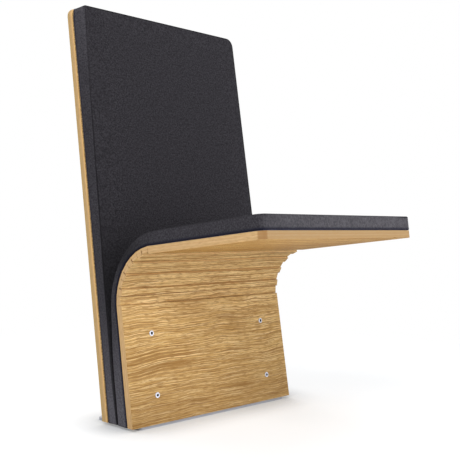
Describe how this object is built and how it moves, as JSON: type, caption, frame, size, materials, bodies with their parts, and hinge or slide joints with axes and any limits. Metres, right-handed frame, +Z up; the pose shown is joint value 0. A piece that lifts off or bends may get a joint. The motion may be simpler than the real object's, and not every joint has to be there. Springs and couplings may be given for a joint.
{
  "type": "tip up auditorium seat",
  "caption": "Slim tip-up seat: a leaning oak back, a charcoal pad and an oak panel that bends forward through hinged slats into the seat, on a floor plate.",
  "frame": {"origin": "on the floor, in the middle of the four anchor holes", "axes": "+Z up, the sitter faces -Y, +X across the seat to the left of the sitter, hinge lines along X"},
  "size_m": [0.51, 0.6171, 0.936],
  "materials": {
    "oak_plywood": "oak-veneered plywood, clear matt lacquer",
    "cover_fabric": "charcoal woven upholstery cloth",
    "foam": "moulded polyurethane foam",
    "spring_steel": "blued spring strip",
    "frame_steel": "silver-grey powder coat",
    "bolt_steel": "bright nickel plate",
    "zinc_steel": "zinc plate",
    "pad_board": "hardboard",
    "clip_plastic": "black nylon"
  },
  "bodies": {
    "frame": {"base_plate": "frame_steel", "upright_left": "frame_steel", "upright_right": "frame_steel", "panel_bolts": "bolt_steel", "threaded_inserts": "zinc_steel", "back_panel": "oak_plywood", "back_pad_board": "pad_board", "pad_clips": "clip_plastic", "back_foam": "foam", "back_cover": "cover_fabric", "front_panel": "oak_plywood", "spring_sheet_panel": "spring_steel", "lower_foam": "foam", "lower_cover": "cover_fabric"},
    "slat_1": {"slat_1": "oak_plywood", "spring_sheet_1": "spring_steel", "bend_pad_1": "cover_fabric"},
    "slat_2": {"slat_2": "oak_plywood", "spring_sheet_2": "spring_steel", "bend_pad_2": "cover_fabric"},
    "slat_3": {"slat_3": "oak_plywood", "spring_sheet_3": "spring_steel", "bend_pad_3": "cover_fabric"},
    "slat_4": {"slat_4": "oak_plywood", "spring_sheet_4": "spring_steel", "bend_pad_4": "cover_fabric"},
    "slat_5": {"slat_5": "oak_plywood", "spring_sheet_5": "spring_steel", "bend_pad_5": "cover_fabric"},
    "slat_6": {"slat_6": "oak_plywood", "spring_sheet_6": "spring_steel", "bend_pad_6": "cover_fabric"},
    "slat_7": {"slat_7": "oak_plywood", "spring_sheet_7": "spring_steel", "bend_pad_7": "cover_fabric"},
    "slat_8": {"slat_8": "oak_plywood", "spring_sheet_8": "spring_steel", "bend_pad_8": "cover_fabric"},
    "slat_9": {"slat_9": "oak_plywood", "spring_sheet_9": "spring_steel", "bend_pad_9": "cover_fabric"},
    "seat": {"seat_board": "oak_plywood", "spring_sheet_seat": "spring_steel", "seat_screws": "zinc_steel", "seat_foam": "foam", "seat_cover": "cover_fabric"}
  },
  "joints": [
    {"name": "hinge_1", "type": "hinge", "parent": "frame", "child": "slat_1", "pos_m": [0, 0.00379, 0.2573], "axis": [-1, 0, 0], "range_deg": [0, 9.3]},
    {"name": "hinge_2", "type": "hinge", "parent": "slat_1", "child": "slat_2", "pos_m": [0, 0.00404, 0.2783], "axis": [-1, 0, 0], "range_deg": [0, 9.3]},
    {"name": "hinge_3", "type": "hinge", "parent": "slat_2", "child": "slat_3", "pos_m": [0, 0.00135, 0.2961], "axis": [-1, 0, 0], "range_deg": [0, 9.3]},
    {"name": "hinge_4", "type": "hinge", "parent": "slat_3", "child": "slat_4", "pos_m": [0, -0.0051, 0.31608], "axis": [-1, 0, 0], "range_deg": [0, 9.3]},
    {"name": "hinge_5", "type": "hinge", "parent": "slat_4", "child": "slat_5", "pos_m": [0, -0.01333, 0.33209], "axis": [-1, 0, 0], "range_deg": [0, 9.3]},
    {"name": "hinge_6", "type": "hinge", "parent": "slat_5", "child": "slat_6", "pos_m": [0, -0.02582, 0.34897], "axis": [-1, 0, 0], "range_deg": [0, 9.3]},
    {"name": "hinge_7", "type": "hinge", "parent": "slat_6", "child": "slat_7", "pos_m": [0, -0.03873, 0.36152], "axis": [-1, 0, 0], "range_deg": [0, 9.3]},
    {"name": "hinge_8", "type": "hinge", "parent": "slat_7", "child": "slat_8", "pos_m": [0, -0.05595, 0.37354], "axis": [-1, 0, 0], "range_deg": [0, 9.3]},
    {"name": "hinge_9", "type": "hinge", "parent": "slat_8", "child": "slat_9", "pos_m": [0, -0.07218, 0.38131], "axis": [-1, 0, 0], "range_deg": [0, 9.3]},
    {"name": "hinge_10", "type": "hinge", "parent": "slat_9", "child": "seat", "pos_m": [0, -0.09234, 0.38721], "axis": [-1, 0, 0], "range_deg": [0, 9.3]}
  ],
  "couplings": [
    {"joint": "hinge_2", "follows": "hinge_1", "ratio": 1},
    {"joint": "hinge_3", "follows": "hinge_1", "ratio": 1},
    {"joint": "hinge_4", "follows": "hinge_1", "ratio": 1},
    {"joint": "hinge_5", "follows": "hinge_1", "ratio": 1},
    {"joint": "hinge_6", "follows": "hinge_1", "ratio": 1},
    {"joint": "hinge_7", "follows": "hinge_1", "ratio": 1},
    {"joint": "hinge_8", "follows": "hinge_1", "ratio": 1},
    {"joint": "hinge_9", "follows": "hinge_1", "ratio": 1},
    {"joint": "hinge_10", "follows": "hinge_1", "ratio": 1}
  ]
}
